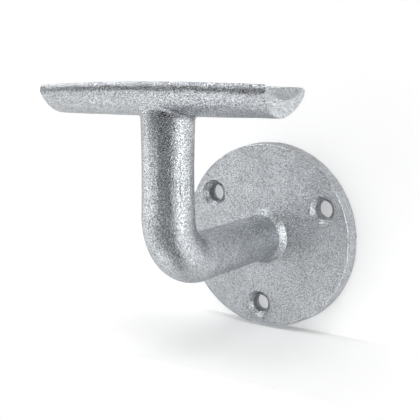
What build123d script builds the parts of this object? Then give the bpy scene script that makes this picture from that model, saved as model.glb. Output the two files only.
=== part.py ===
from build123d import *
import math
import os

# A handrail bracket for a wall: one casting with a round wall plate, a bent round bar and a grooved saddle.
# Frame: the origin is the centre of the plate's back face, the wall is the XZ plane, +Y points into the
# wall, +X runs along the rail and +Z is up. All sizes are millimetres and degrees.

# Wall plate
plate_diameter = 70.0
plate_thickness = 6.0
plate_draft = 4.5
plate_edge_break = 0.5

# Screw holes in the plate, counted round from the first angle
hole_count = 3
hole_diameter = 6.4
hole_circle_diameter = 53.2
hole_first_angle = 26.6
countersink_diameter = 10.0
countersink_angle = 90.0

# Bar: the arm leaves the plate's middle, bends once and stands up as the post, whose head ends inside the
# saddle, a little below the rail groove
bar_diameter = 16.8
bend_radius = 15.5
wall_distance = 65.0
arm_root_fillet = 2.0
post_head_fillet = 2.0
post_head_cover = 1.0

# Saddle: rim and floor are measured up and down from the bottom of the rail groove, and the rim's land is the
# flat strip left beside the groove before the edges are rounded. The whole saddle tilts about the groove's
# bottom line, room side up
seat_height = 51.4
rail_radius = 16.9
saddle_length = 83.0
saddle_shift = -1.0
saddle_tilt = 2.0
middle_rim = 5.05
middle_floor = 5.4
end_rim = 4.05
end_floor = 5.1
rim_land = 0.3
flank_height = 3.1
shoulder_round = 1.3
crest_round = 0.35

# Saddle ends: they lean in below the rims, each by its own angle, and the rims' corners are rounded
left_end_lean = 0.5
right_end_lean = 12.0
end_edge_break = 0.2
end_allowance = 2.0
corner_round = 2.0
corner_rise = 6.0

post_y = -wall_distance
half_length = saddle_length / 2
rim_height = seat_height + end_rim
belly_height = seat_height - middle_floor
end_leans = {-1: math.radians(left_end_lean), 1: math.radians(right_end_lean)}


def saddle_section(x, rim, floor):
    """One cross-section of the saddle before its groove: flat top, round shoulders, short flanks, round belly."""
    groove_half_width = math.sqrt(rim * (2 * rail_radius - rim))
    half_width = groove_half_width + rim_land
    top = seat_height + rim
    flank_foot = top - flank_height
    with BuildSketch(Plane(origin=(x, post_y, 0), x_dir=(0, 1, 0), z_dir=(1, 0, 0))) as section:
        with BuildLine():
            Polyline((-half_width, flank_foot), (-half_width, top), (half_width, top), (half_width, flank_foot))
            ThreePointArc((half_width, flank_foot), (0, seat_height - floor), (-half_width, flank_foot))
        make_face()
        fillet(section.vertices().group_by(Axis.Y)[-1], radius=shoulder_round)
    return section.sketch


# Saddle: fullest at its middle and slimmer towards both ends, as it draws out of the mould
with BuildPart() as saddle:
    end_station = half_length + end_allowance
    for x, rim, floor in (
        (-end_station, end_rim, end_floor),
        (0, middle_rim, middle_floor),
        (end_station, end_rim, end_floor),
    ):
        add(saddle_section(x + saddle_shift, rim, floor))
    loft()

    # The end cuts take the allowance off
    for side, lean in end_leans.items():
        end_plane = Plane(
            origin=(saddle_shift + side * half_length, post_y, rim_height),
            x_dir=(0, 1, 0),
            z_dir=(side * math.cos(lean), 0, -math.sin(lean)),
        )
        split(bisect_by=end_plane, keep=Keep.BOTTOM)
    end_faces = saddle.faces().filter_by(GeomType.PLANE).sort_by(Axis.X)
    chamfer(end_faces[0].edges() + end_faces[-1].edges(), length=end_edge_break)

    # Rail groove with rounded crests along the rims
    with BuildSketch(Plane.YZ):
        with Locations((post_y, seat_height + rail_radius)):
            Circle(rail_radius)
    extrude(amount=saddle_length, both=True, mode=Mode.SUBTRACT)
    groove = saddle.faces().filter_by(GeomType.CYLINDER).sort_by(SortBy.AREA)[-1]
    fillet(groove.edges().sort_by(SortBy.LENGTH)[-2:], radius=crest_round)

    # Rounded corners: the outline follows the ends and rises inwards, clear of the rims
    left_inset, right_inset = ((rim_height - belly_height) * math.tan(lean) for lean in end_leans.values())
    ridge_height = rim_height + half_length * math.tan(math.radians(corner_rise))
    with BuildSketch(Plane(origin=(saddle_shift, post_y, 0), x_dir=(1, 0, 0), z_dir=(0, -1, 0))) as side_outline:
        with BuildLine():
            Polyline(
                (-half_length + left_inset, belly_height),
                (-half_length, rim_height),
                (0, ridge_height),
                (half_length, rim_height),
                (half_length - right_inset, belly_height),
                close=True,
            )
        make_face()
        fillet(side_outline.vertices().group_by(Axis.Y)[1], radius=corner_round)
    extrude(amount=rail_radius, both=True, mode=Mode.INTERSECT)

with BuildPart() as bracket:
    # Wall plate, slimmer towards the room: half of its section is turned about the arm's axis
    front_radius = plate_diameter / 2 - plate_thickness * math.tan(math.radians(plate_draft))
    with BuildSketch(Plane.XY) as plate_section:
        with BuildLine():
            Polyline(
                (0, 0),
                (plate_diameter / 2, 0),
                (front_radius, -plate_thickness),
                (0, -plate_thickness),
                close=True,
            )
        make_face()
        front_edge = plate_section.vertices().group_by(Axis.Y)[0].sort_by(Axis.X)[-1]
        chamfer(front_edge, length=plate_edge_break)
    revolve(axis=Axis.Y)

    # Bar
    with BuildLine(Plane.YZ) as bar_axis:
        FilletPolyline(
            (-plate_thickness / 2, 0),
            (post_y, 0),
            (post_y, seat_height - post_head_cover),
            radius=bend_radius,
        )
    with BuildSketch(Plane.XZ.offset(plate_thickness / 2)):
        Circle(bar_diameter / 2)
    sweep(path=bar_axis.wires()[0])
    fillet(bracket.edges(Select.NEW), radius=arm_root_fillet)

    # Saddle on the post
    add(saddle.part.rotate(Axis((0, post_y, seat_height), (1, 0, 0)), -saddle_tilt))
    fillet(bracket.edges(Select.NEW), radius=post_head_fillet)

    # Screw holes, countersunk from the room side
    with Locations(Plane.XZ.offset(plate_thickness)):
        with PolarLocations(hole_circle_diameter / 2, hole_count, start_angle=hole_first_angle):
            CounterSinkHole(
                radius=hole_diameter / 2,
                counter_sink_radius=countersink_diameter / 2,
                depth=plate_thickness,
                counter_sink_angle=countersink_angle,
            )

bracket.part.label = "handrail_bracket"
os.makedirs("parts", exist_ok=True)
export_step(bracket.part, "parts/handrail_bracket.step")
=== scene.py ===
import math

import bmesh
import bpy
from mathutils import Matrix, Vector, noise
from mathutils.bvhtree import BVHTree
from mathutils.kdtree import KDTree


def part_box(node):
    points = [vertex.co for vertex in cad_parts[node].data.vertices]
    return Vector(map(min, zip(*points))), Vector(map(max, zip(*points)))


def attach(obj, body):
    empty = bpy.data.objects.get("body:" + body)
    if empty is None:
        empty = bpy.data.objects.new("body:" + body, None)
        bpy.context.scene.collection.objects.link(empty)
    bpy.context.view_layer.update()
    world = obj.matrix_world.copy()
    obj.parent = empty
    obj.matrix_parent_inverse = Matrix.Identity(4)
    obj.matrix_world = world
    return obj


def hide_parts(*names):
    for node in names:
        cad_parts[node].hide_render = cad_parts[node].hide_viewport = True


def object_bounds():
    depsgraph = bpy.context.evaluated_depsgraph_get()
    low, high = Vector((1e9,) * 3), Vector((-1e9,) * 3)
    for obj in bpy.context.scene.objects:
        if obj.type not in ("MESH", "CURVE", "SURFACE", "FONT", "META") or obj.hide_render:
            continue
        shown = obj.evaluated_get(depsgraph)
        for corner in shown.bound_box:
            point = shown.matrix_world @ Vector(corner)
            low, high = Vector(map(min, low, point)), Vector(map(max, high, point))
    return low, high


# A wall bracket for a handrail: sand-cast iron with bright zinc plating, seen from its front right.
# Names that end in MM are millimetres, and angles are degrees

MM = 0.001

# Camera, solved from the photograph: 420 pixels across, with a lens that is 758 pixels long
PHOTO_SIDE_PX = 420
LENS_PX = 758.14
SENSOR_MM = 36.0
CAMERA_PLACE_MM = (138.4, -249.4, 54.0)
CAMERA_YAW = 33.706
CAMERA_PITCH = -8.994
CAMERA_ROLL = 0.224
CAMERA_SEES_MM = (10.0, 20000.0)

# Skin of the casting: fine enough to keep the edges crisp, thinned out where it is flat. The solid's loose
# triangles are merged, edges sharper than the crease angle stay creases, and the skin within reach of a
# crease is drawn onto it
MERGE_MM = 0.0001
SKIN_VOXEL_MM = 0.25
SKIN_TRIANGLES = 185000
CREASE_ANGLE = 28.0
CREASE_STEP_MM = 0.05
CREASE_REACH_MM = 0.16
ROUND_SHARE = 0.5

# Flare of the arm's root: its radius on the plate's face, the arm's radius, its length and the face's depth.
# It starts a little inside the arm's radius, to take in all of the skin there
FLARE_MM = (10.2, 8.4, 2.6, 6.0)
FLARE_INNER_SHARE = 0.9

# The saddle's long sides are rubbed round: above this height, this far from the post's middle, and where the
# skin faces neither up nor along the rail
SIDE_FOOT_MM = 47.0
SIDE_REACH_MM = 8.0
SIDE_MOST_UP = 0.85
SIDE_MOST_ALONG = 0.5
SIDE_PASSES = 60
POST_Y_MM = -65.0

# The sand leaves the skin a little uneven: depth and width of the hollows, and how far all of it lies inside
HOLLOWS_MM = ((0.07, 7.0), (0.04, 2.2))
SKIN_REST_MM = 0.02

# Zinc plating on a cast skin: its colour on the grains, and the painted shade of the pits in the fine lines
# between them, which the duller patches also lean towards a little; the widths of grain, pits and duller
# patches, and the share of the grains' colour that the dullest patch keeps
ZINC_GRAINS = "#F1F5F9"
ZINC_PIT_SHADE_AND_DULL = "#20262D"
ZINC_ROUGHNESS = 0.16
GRAIN_MM = 0.3
PITS_MM = 0.35
PATCH_MM = 9.0
PATCH_LEVELS = (0.3, 0.7)
PATCH_KEEPS = 0.85

# Levels of the pit pattern: the middle and half width of the dark lines of painted pit shade, and the foot
# and head of the step out of a pit. The step counts for one height and the grain for more, and one height is
# this deep
PIT_SHADE_LEVEL = 0.45
PIT_SHADE_HALF_WIDTH = 0.085
STEP_LEVELS = (0.48, 0.56)
GRAIN_HEIGHT = 1.5
BUMP_MM = 0.075

# Room: an even level, and light panels as directions (turn from +X, rise), their full and outer half widths,
# their strength, and what each lights up
AMBIENT = 0.16
PANELS = (
    (180, 2, 15, 104, 0.86),  # whole left side, down the post and the elbow
    (-158, -9, 12, 27, 0.45),  # left edge of the post and of the elbow
    (-163, 50, 24, 36, 0.95),  # round along the saddle's rim
    (-114, 9, 10, 22, 0.70),  # upper part of the plate
    (19, -8, 33, 43, 1.60),  # right side of the post, end of the arm
    (-140, -68, 14, 30, 0.80),  # lower edge of the saddle's side
    (-100, 85, 26, 44, 0.35),  # what faces up
)

# Lamp: its strength, the angle across it and the way its light goes
LAMP_STRENGTH = 0.8
LAMP_WIDTH = 28.0
LAMP_WAY = (-20, 40, -85)

# Cards close to the bracket, which only the metal sees: their two ends in plan, foot and head, and level
CARDS_MM = {
    "dark_card": ((-120, -110), (36, -110), (39, 66), 0.05),
    "white_card": ((107, -105), (170, 0), (-60, 120), 1.90),
}

# White stage: the floor's and the wall's glow for the camera, and for reflections a glow that rises between
# two places along X, and another for metal close to the sheet, such as the plate's back face. The floor ends
# under the arm, so that the metal mirrors the room's low panels, and the wall stands just off the plate
STAGE_WHITE = "#F4F4F4"
FLOOR_GLOW = 0.20
WALL_GLOW = 0.38
MIRRORED_GLOW = 0.42
MIRRORED_FROM_MM = (0.0, 50.0)
CLOSE_GLOW = 0.42
CLOSE_MM = (0.8, 2.4)
FLOOR_FRONT_MM = -58.0
WALL_GAP_MM = 0.3
STAGE_REACH_MM = 1500.0


def linear(hex_colour):
    """sRGB hex colour to linear red, green, blue and alpha."""
    channels = [int(hex_colour[i : i + 2], 16) / 255 for i in (1, 3, 5)]
    return [c / 12.92 if c <= 0.04045 else ((c + 0.055) / 1.055) ** 2.4 for c in channels] + [1.0]


def add_node(tree, kind, links=None, **settings):
    """Adds one node: settings are properties, or inputs by name, and links join outputs to its inputs."""
    node = tree.nodes.new(kind)
    for key, value in settings.items():
        name = key.replace("_", " ")
        if hasattr(node, key):
            setattr(node, key, value)
        else:
            match = [s for s in node.inputs if s.name.lower() == name.lower()]
            match[0].default_value = value
    for key, source in (links or {}).items():
        tree.links.new(source, node.inputs[key])
    return node


def place_camera():
    """Puts the camera where the photograph was taken from."""
    data = bpy.data.cameras.new("camera")
    data.sensor_width = SENSOR_MM
    data.lens = LENS_PX / PHOTO_SIDE_PX * SENSOR_MM
    data.clip_start, data.clip_end = (reach * MM for reach in CAMERA_SEES_MM)
    camera = bpy.data.objects.new("camera", data)
    bpy.context.scene.collection.objects.link(camera)
    yaw, pitch, roll = (math.radians(a) for a in (CAMERA_YAW, CAMERA_PITCH, CAMERA_ROLL))
    turn = (
        Matrix.Rotation(yaw, 4, "Z")
        @ Matrix.Rotation(math.pi / 2 + pitch, 4, "X")
        @ Matrix.Rotation(roll, 4, "Z")
    )
    camera.matrix_world = Matrix.Translation(Vector(CAMERA_PLACE_MM) * MM) @ turn
    bpy.context.scene.camera = camera


def evaluated_mesh(obj):
    """The object's mesh with its modifiers applied."""
    return bpy.data.meshes.new_from_object(obj.evaluated_get(bpy.context.evaluated_depsgraph_get()))


class CadSkin:
    """The CAD piece's faces and creases, as a guide that a finer mesh is drawn onto."""

    def __init__(self, cad):
        copy = bmesh.new()
        copy.from_mesh(cad.data)
        bmesh.ops.remove_doubles(copy, verts=copy.verts, dist=MERGE_MM * MM)
        bmesh.ops.triangulate(copy, faces=copy.faces)
        crease_angle = math.radians(CREASE_ANGLE)
        points = []
        for edge in copy.edges:
            edge.smooth = len(edge.link_faces) == 2 and edge.calc_face_angle() < crease_angle
            if not edge.smooth:
                a, b = (v.co for v in edge.verts)
                steps = max(1, math.ceil((b - a).length / (CREASE_STEP_MM * MM)))
                points += [a.lerp(b, i / steps) for i in range(steps + 1)]
        self.mesh = bpy.data.meshes.new("casting")
        copy.to_mesh(self.mesh)
        copy.free()
        self.corners = [tuple(p.vertices) for p in self.mesh.polygons]
        self.places = [v.co.copy() for v in self.mesh.vertices]
        normals = [n.vector.copy() for n in self.mesh.corner_normals]
        self.normals = [[normals[i] for i in p.loop_indices] for p in self.mesh.polygons]
        self.faces = BVHTree.FromPolygons(self.places, self.corners)
        self.creases = KDTree(len(points))
        for i, point in enumerate(points):
            self.creases.insert(point, i)
        self.creases.balance()

    def crease_near(self, point):
        """The nearest place on a crease, or None where none is near."""
        place, _, distance = self.creases.find(point)
        return place if distance < CREASE_REACH_MM * MM else None

    def rounded_place(self, point):
        """The nearest place on the skin, raised from its triangle to the curve its corners' normals tell."""
        place, _, face, _ = self.faces.find_nearest(point)
        a, b, c = (self.places[i] for i in self.corners[face])
        ab, ac, ap = b - a, c - a, place - a
        bb, bc, cc, pb, pc = ab.dot(ab), ab.dot(ac), ac.dot(ac), ap.dot(ab), ap.dot(ac)
        scale = bb * cc - bc * bc
        if scale <= 0:
            return place
        v = (cc * pb - bc * pc) / scale
        w = (bb * pc - bc * pb) / scale
        lift = Vector()
        for share, corner, normal in zip((1 - v - w, v, w), (a, b, c), self.normals[face]):
            lift -= share * (place - corner).dot(normal) * normal
        return place + ROUND_SHARE * lift


def flared(point):
    """The arm's root runs out in a short straight flare, where the CAD piece has a fillet."""
    root, arm, length, face = (size * MM for size in FLARE_MM)
    radius, ahead = math.hypot(point.x, point.z), -point.y - face
    if not (arm * FLARE_INNER_SHARE < radius < root and 0 < ahead < length):
        return point
    out = Vector((length, root - arm)).normalized()
    below = (root - radius) * out.x - ahead * out.y
    if below <= 0:
        return point
    wider = (radius + below * out.x) / radius
    return Vector((point.x * wider, point.y - below * out.y, point.z * wider))


def rub(skin, verts):
    """One light smoothing pass over some of the skin's vertices."""
    bmesh.ops.smooth_vert(skin, verts=verts, factor=0.5, use_axis_x=True, use_axis_y=True, use_axis_z=True)


def round_sides(skin):
    """The saddle's long sides lose their creases, as the mould's sand rounds them, and keep the top line."""
    sides = []
    for v in skin.verts:
        outward = (v.co.y / MM - POST_Y_MM) * v.normal.y
        beside = v.co.z > SIDE_FOOT_MM * MM and abs(v.co.y / MM - POST_Y_MM) > SIDE_REACH_MM
        if beside and outward > 0 and v.normal.z < SIDE_MOST_UP and abs(v.normal.x) < SIDE_MOST_ALONG:
            sides.append(v)
    for _ in range(SIDE_PASSES):
        rub(skin, sides)


def cast_skin(cad, cad_box):
    """A finer copy of the CAD piece with crisp creases, and the shallow hollows that a sand mould leaves."""
    guide = CadSkin(cad)
    casting = bpy.data.objects.new("casting", guide.mesh)
    bpy.context.scene.collection.objects.link(casting)
    remesh = casting.modifiers.new("even_skin", "REMESH")
    remesh.mode = "VOXEL"
    remesh.voxel_size = SKIN_VOXEL_MM * MM
    casting.data = evaluated_mesh(casting)
    casting.modifiers.clear()
    skin = bmesh.new()
    skin.from_mesh(casting.data)
    free = []
    for v in skin.verts:
        crease = guide.crease_near(v.co)
        if crease is None:
            v.co = flared(guide.rounded_place(v.co))
            free.append(v)
        else:
            v.co = crease
    rub(skin, free)
    skin.normal_update()
    round_sides(skin)
    skin.normal_update()

    # The sand's hollows
    inward = []
    for v in skin.verts:
        depth = SKIN_REST_MM
        for hollow, width in HOLLOWS_MM:
            depth += hollow * max(0.0, 0.5 + 0.5 * noise.noise(v.co / (width * MM)))
        inward.append(-depth * MM * v.normal)
    for v, move in zip(skin.verts, inward):
        v.co += move
    skin.to_mesh(casting.data)
    skin.free()

    # Flat stretches are thinned, and nothing stands out of the solid's box
    thin = casting.modifiers.new("thinned", "DECIMATE")
    thin.ratio = SKIN_TRIANGLES / (2 * len(casting.data.polygons))
    casting.data = evaluated_mesh(casting)
    casting.modifiers.clear()
    for v in casting.data.vertices:
        v.co = [min(max(c, low), high) for c, low, high in zip(v.co, *cad_box)]
    casting.data.shade_smooth()
    return casting


def zinc_material():
    """Bright zinc plating on sand-cast iron: silvery, with a glittering grain and painted shade in dark
    lines between it.
    """
    material = bpy.data.materials.new("bright_zinc_on_sand_cast_iron")
    material.use_nodes = True
    tree = material.node_tree
    tree.nodes.clear()
    place = add_node(tree, "ShaderNodeTexCoord").outputs["Object"]
    patterns = []
    for width, detail in ((GRAIN_MM, 1.0), (PITS_MM, 1.0), (PATCH_MM, 3.0)):
        scale = 1 / (width * MM)
        pattern = add_node(tree, "ShaderNodeTexNoise", {"Vector": place}, Scale=scale, Detail=detail)
        patterns.append(pattern.outputs["Fac"])
    grain, pits, patches = patterns

    # Painted shade: dark lines along one level of the pit pattern stand in for the shade in the pits between
    # grains, and patches where the grains' colour is a little duller
    off_pit_shade_level = add_node(tree, "ShaderNodeMath", {0: pits}, operation="SUBTRACT")
    off_pit_shade_level.inputs[1].default_value = PIT_SHADE_LEVEL
    distance = add_node(tree, "ShaderNodeMath", {0: off_pit_shade_level.outputs[0]}, operation="ABSOLUTE")
    beside_pit_shade = add_node(
        tree,
        "ShaderNodeMapRange",
        {"Value": distance.outputs[0]},
        interpolation_type="SMOOTHSTEP",
        From_Max=PIT_SHADE_HALF_WIDTH,
    )
    dull, clear = PATCH_LEVELS
    drift = add_node(
        tree, "ShaderNodeMapRange", {"Value": patches}, From_Min=dull, From_Max=clear, To_Min=PATCH_KEEPS
    )
    out_of_pit_shade_and_dull = add_node(
        tree, "ShaderNodeMath", {0: beside_pit_shade.outputs[0], 1: drift.outputs[0]}, operation="MULTIPLY"
    )
    # Painted shade of the pits: the lines take the dark colour, and the duller patches take a little of it
    colour = add_node(tree, "ShaderNodeMix", data_type="RGBA")
    tree.links.new(out_of_pit_shade_and_dull.outputs[0], colour.inputs[0])
    colour.inputs[6].default_value = linear(ZINC_PIT_SHADE_AND_DULL)
    colour.inputs[7].default_value = linear(ZINC_GRAINS)

    # Relief: the sand's grain, with small steps between pits and grains
    foot, head = STEP_LEVELS
    steps = add_node(
        tree,
        "ShaderNodeMapRange",
        {"Value": pits},
        interpolation_type="SMOOTHSTEP",
        From_Min=foot,
        From_Max=head,
    )
    height = add_node(tree, "ShaderNodeMath", {0: grain, 2: steps.outputs[0]}, operation="MULTIPLY_ADD")
    height.inputs[1].default_value = GRAIN_HEIGHT
    bump = add_node(
        tree, "ShaderNodeBump", {"Height": height.outputs[0]}, Strength=1.0, Distance=BUMP_MM * MM
    )
    shader = add_node(
        tree,
        "ShaderNodeBsdfPrincipled",
        {"Base Color": colour.outputs[2], "Normal": bump.outputs["Normal"]},
        Metallic=1.0,
        Roughness=ZINC_ROUGHNESS,
    )
    add_node(tree, "ShaderNodeOutputMaterial", {"Surface": shader.outputs["BSDF"]})
    return material


def light_room():
    """Soft studio light: a plain room with bright panels left and right, and the camera's dark between."""
    world = bpy.data.worlds.new("studio")
    bpy.context.scene.world = world
    world.use_nodes = True
    tree = world.node_tree
    tree.nodes.clear()
    towards = add_node(tree, "ShaderNodeTexCoord").outputs["Generated"]
    level = add_node(tree, "ShaderNodeValue").outputs[0]
    level.default_value = AMBIENT
    for turn, rise, full, outer, strength in PANELS:
        a, e = math.radians(turn), math.radians(rise)
        centre = (math.cos(a) * math.cos(e), math.sin(a) * math.cos(e), math.sin(e))
        nearness = add_node(tree, "ShaderNodeVectorMath", {0: towards}, operation="DOT_PRODUCT")
        nearness.inputs[1].default_value = centre
        panel = add_node(
            tree,
            "ShaderNodeMapRange",
            {"Value": nearness.outputs["Value"]},
            interpolation_type="SMOOTHSTEP",
            From_Min=math.cos(math.radians(outer)),
            From_Max=math.cos(math.radians(full)),
        )
        level = add_node(tree, "ShaderNodeMath", {0: panel.outputs[0], 2: level}, operation="MULTIPLY_ADD")
        level.inputs[1].default_value = strength
        level = level.outputs[0]
    rays = add_node(tree, "ShaderNodeLightPath")
    seen = add_node(tree, "ShaderNodeMix", {0: rays.outputs["Is Camera Ray"], 2: level})
    seen.inputs[3].default_value = 1.0
    background = add_node(tree, "ShaderNodeBackground", {"Strength": seen.outputs[0]})
    background.inputs["Color"].default_value = (1, 1, 1, 1)
    add_node(tree, "ShaderNodeOutputWorld", {"Surface": background.outputs[0]})


def top_lamp():
    """A lamp up at the front right, whose soft shadow falls back and down onto the floor."""
    data = bpy.data.lights.new("top_lamp", "SUN")
    data.energy = LAMP_STRENGTH
    data.angle = math.radians(LAMP_WIDTH)
    lamp = bpy.data.objects.new("top_lamp", data)
    bpy.context.scene.collection.objects.link(lamp)
    lamp.rotation_mode = "QUATERNION"
    lamp.rotation_quaternion = Vector(LAMP_WAY).to_track_quat("-Z", "Y")
    lamp.visible_glossy = False


def place_cards():
    """The dark card draws the line along the saddle's side, the white one at the right fills the arm."""
    for name, ((x0, y0), (x1, y1), (foot, head), level) in CARDS_MM.items():
        material = bpy.data.materials.new(name)
        material.use_nodes = True
        tree = material.node_tree
        tree.nodes.clear()
        face = add_node(tree, "ShaderNodeEmission", Strength=level)
        add_node(tree, "ShaderNodeOutputMaterial", {"Surface": face.outputs[0]})
        card = stage_sheet(name, ((x0, y0, foot), (x1, y1, foot), (x1, y1, head), (x0, y0, head)), material)
        card.visible_camera = False
        card.visible_diffuse = False
        card.visible_shadow = False


def stage_material(name, glow):
    """Plain white sheet that keeps a soft shadow, and gives way to whoever looks from behind it."""
    material = bpy.data.materials.new(name)
    material.use_nodes = True
    tree = material.node_tree
    tree.nodes.clear()
    rays = add_node(tree, "ShaderNodeLightPath")
    paper = add_node(tree, "ShaderNodeBsdfDiffuse", Color=linear(STAGE_WHITE))
    place = add_node(tree, "ShaderNodeTexCoord").outputs["Object"]
    along = add_node(tree, "ShaderNodeSeparateXYZ", {0: place}).outputs["X"]
    start, full = (x * MM for x in MIRRORED_FROM_MM)
    side = add_node(
        tree, "ShaderNodeMapRange", {"Value": along}, From_Min=start, From_Max=full, To_Max=MIRRORED_GLOW
    )
    near, far = (length * MM for length in CLOSE_MM)
    close = add_node(
        tree,
        "ShaderNodeMapRange",
        {"Value": rays.outputs["Ray Length"]},
        From_Min=near,
        From_Max=far,
        To_Min=CLOSE_GLOW,
        To_Max=0.0,
    )
    more = add_node(tree, "ShaderNodeMath", {0: side.outputs[0], 1: close.outputs[0]}, operation="MAXIMUM")
    mirrored = add_node(
        tree, "ShaderNodeMath", {0: rays.outputs["Is Glossy Ray"], 1: more.outputs[0]}, operation="MULTIPLY"
    )
    strength = add_node(
        tree,
        "ShaderNodeMath",
        {0: rays.outputs["Is Camera Ray"], 2: mirrored.outputs[0]},
        operation="MULTIPLY_ADD",
    )
    strength.inputs[1].default_value = glow
    light = add_node(tree, "ShaderNodeEmission", {"Strength": strength.outputs[0]})
    both = add_node(tree, "ShaderNodeAddShader", {0: paper.outputs[0], 1: light.outputs[0]})
    behind = add_node(tree, "ShaderNodeNewGeometry").outputs["Backfacing"]
    clear = add_node(tree, "ShaderNodeBsdfTransparent")
    mixed = add_node(tree, "ShaderNodeMixShader", {0: behind, 1: both.outputs[0], 2: clear.outputs[0]})
    add_node(tree, "ShaderNodeOutputMaterial", {"Surface": mixed.outputs[0]})
    return material


def stage_sheet(name, corners, material):
    """A flat sheet of the stage from four corners in millimetres, facing where they turn anticlockwise."""
    sheet = bmesh.new()
    sheet.faces.new([sheet.verts.new(Vector(c) * MM) for c in corners])
    mesh = bpy.data.meshes.new(name)
    sheet.to_mesh(mesh)
    sheet.free()
    mesh.materials.append(material)
    obj = bpy.data.objects.new(name, mesh)
    bpy.context.scene.collection.objects.link(obj)
    return obj


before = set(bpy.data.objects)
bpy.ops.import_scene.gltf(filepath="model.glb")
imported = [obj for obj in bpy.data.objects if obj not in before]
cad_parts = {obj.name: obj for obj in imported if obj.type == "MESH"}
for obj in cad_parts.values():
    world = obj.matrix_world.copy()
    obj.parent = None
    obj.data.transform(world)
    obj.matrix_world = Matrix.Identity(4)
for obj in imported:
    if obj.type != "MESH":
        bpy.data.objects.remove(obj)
cad_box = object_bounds()
bpy.context.scene.view_settings.view_transform = "Standard"

place_camera()
light_room()
top_lamp()

# The casting
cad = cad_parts["handrail_bracket"]
casting = cast_skin(cad, cad_box)
casting.data.materials.clear()
casting.data.materials.append(zinc_material())
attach(casting, "root")
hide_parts("handrail_bracket")

# The stage: cards, and the floor and wall that the bracket's plate touches
floor_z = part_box("handrail_bracket")[0].z / MM
reach, front, back = STAGE_REACH_MM, FLOOR_FRONT_MM, WALL_GAP_MM
place_cards()
stage_sheet(
    "floor",
    ((-reach, front, floor_z), (reach, front, floor_z), (reach, back, floor_z), (-reach, back, floor_z)),
    stage_material("white_floor", FLOOR_GLOW),
)
stage_sheet(
    "backdrop",
    ((-reach, back, floor_z), (reach, back, floor_z), (reach, back, reach), (-reach, back, reach)),
    stage_material("white_backdrop", WALL_GLOW),
)
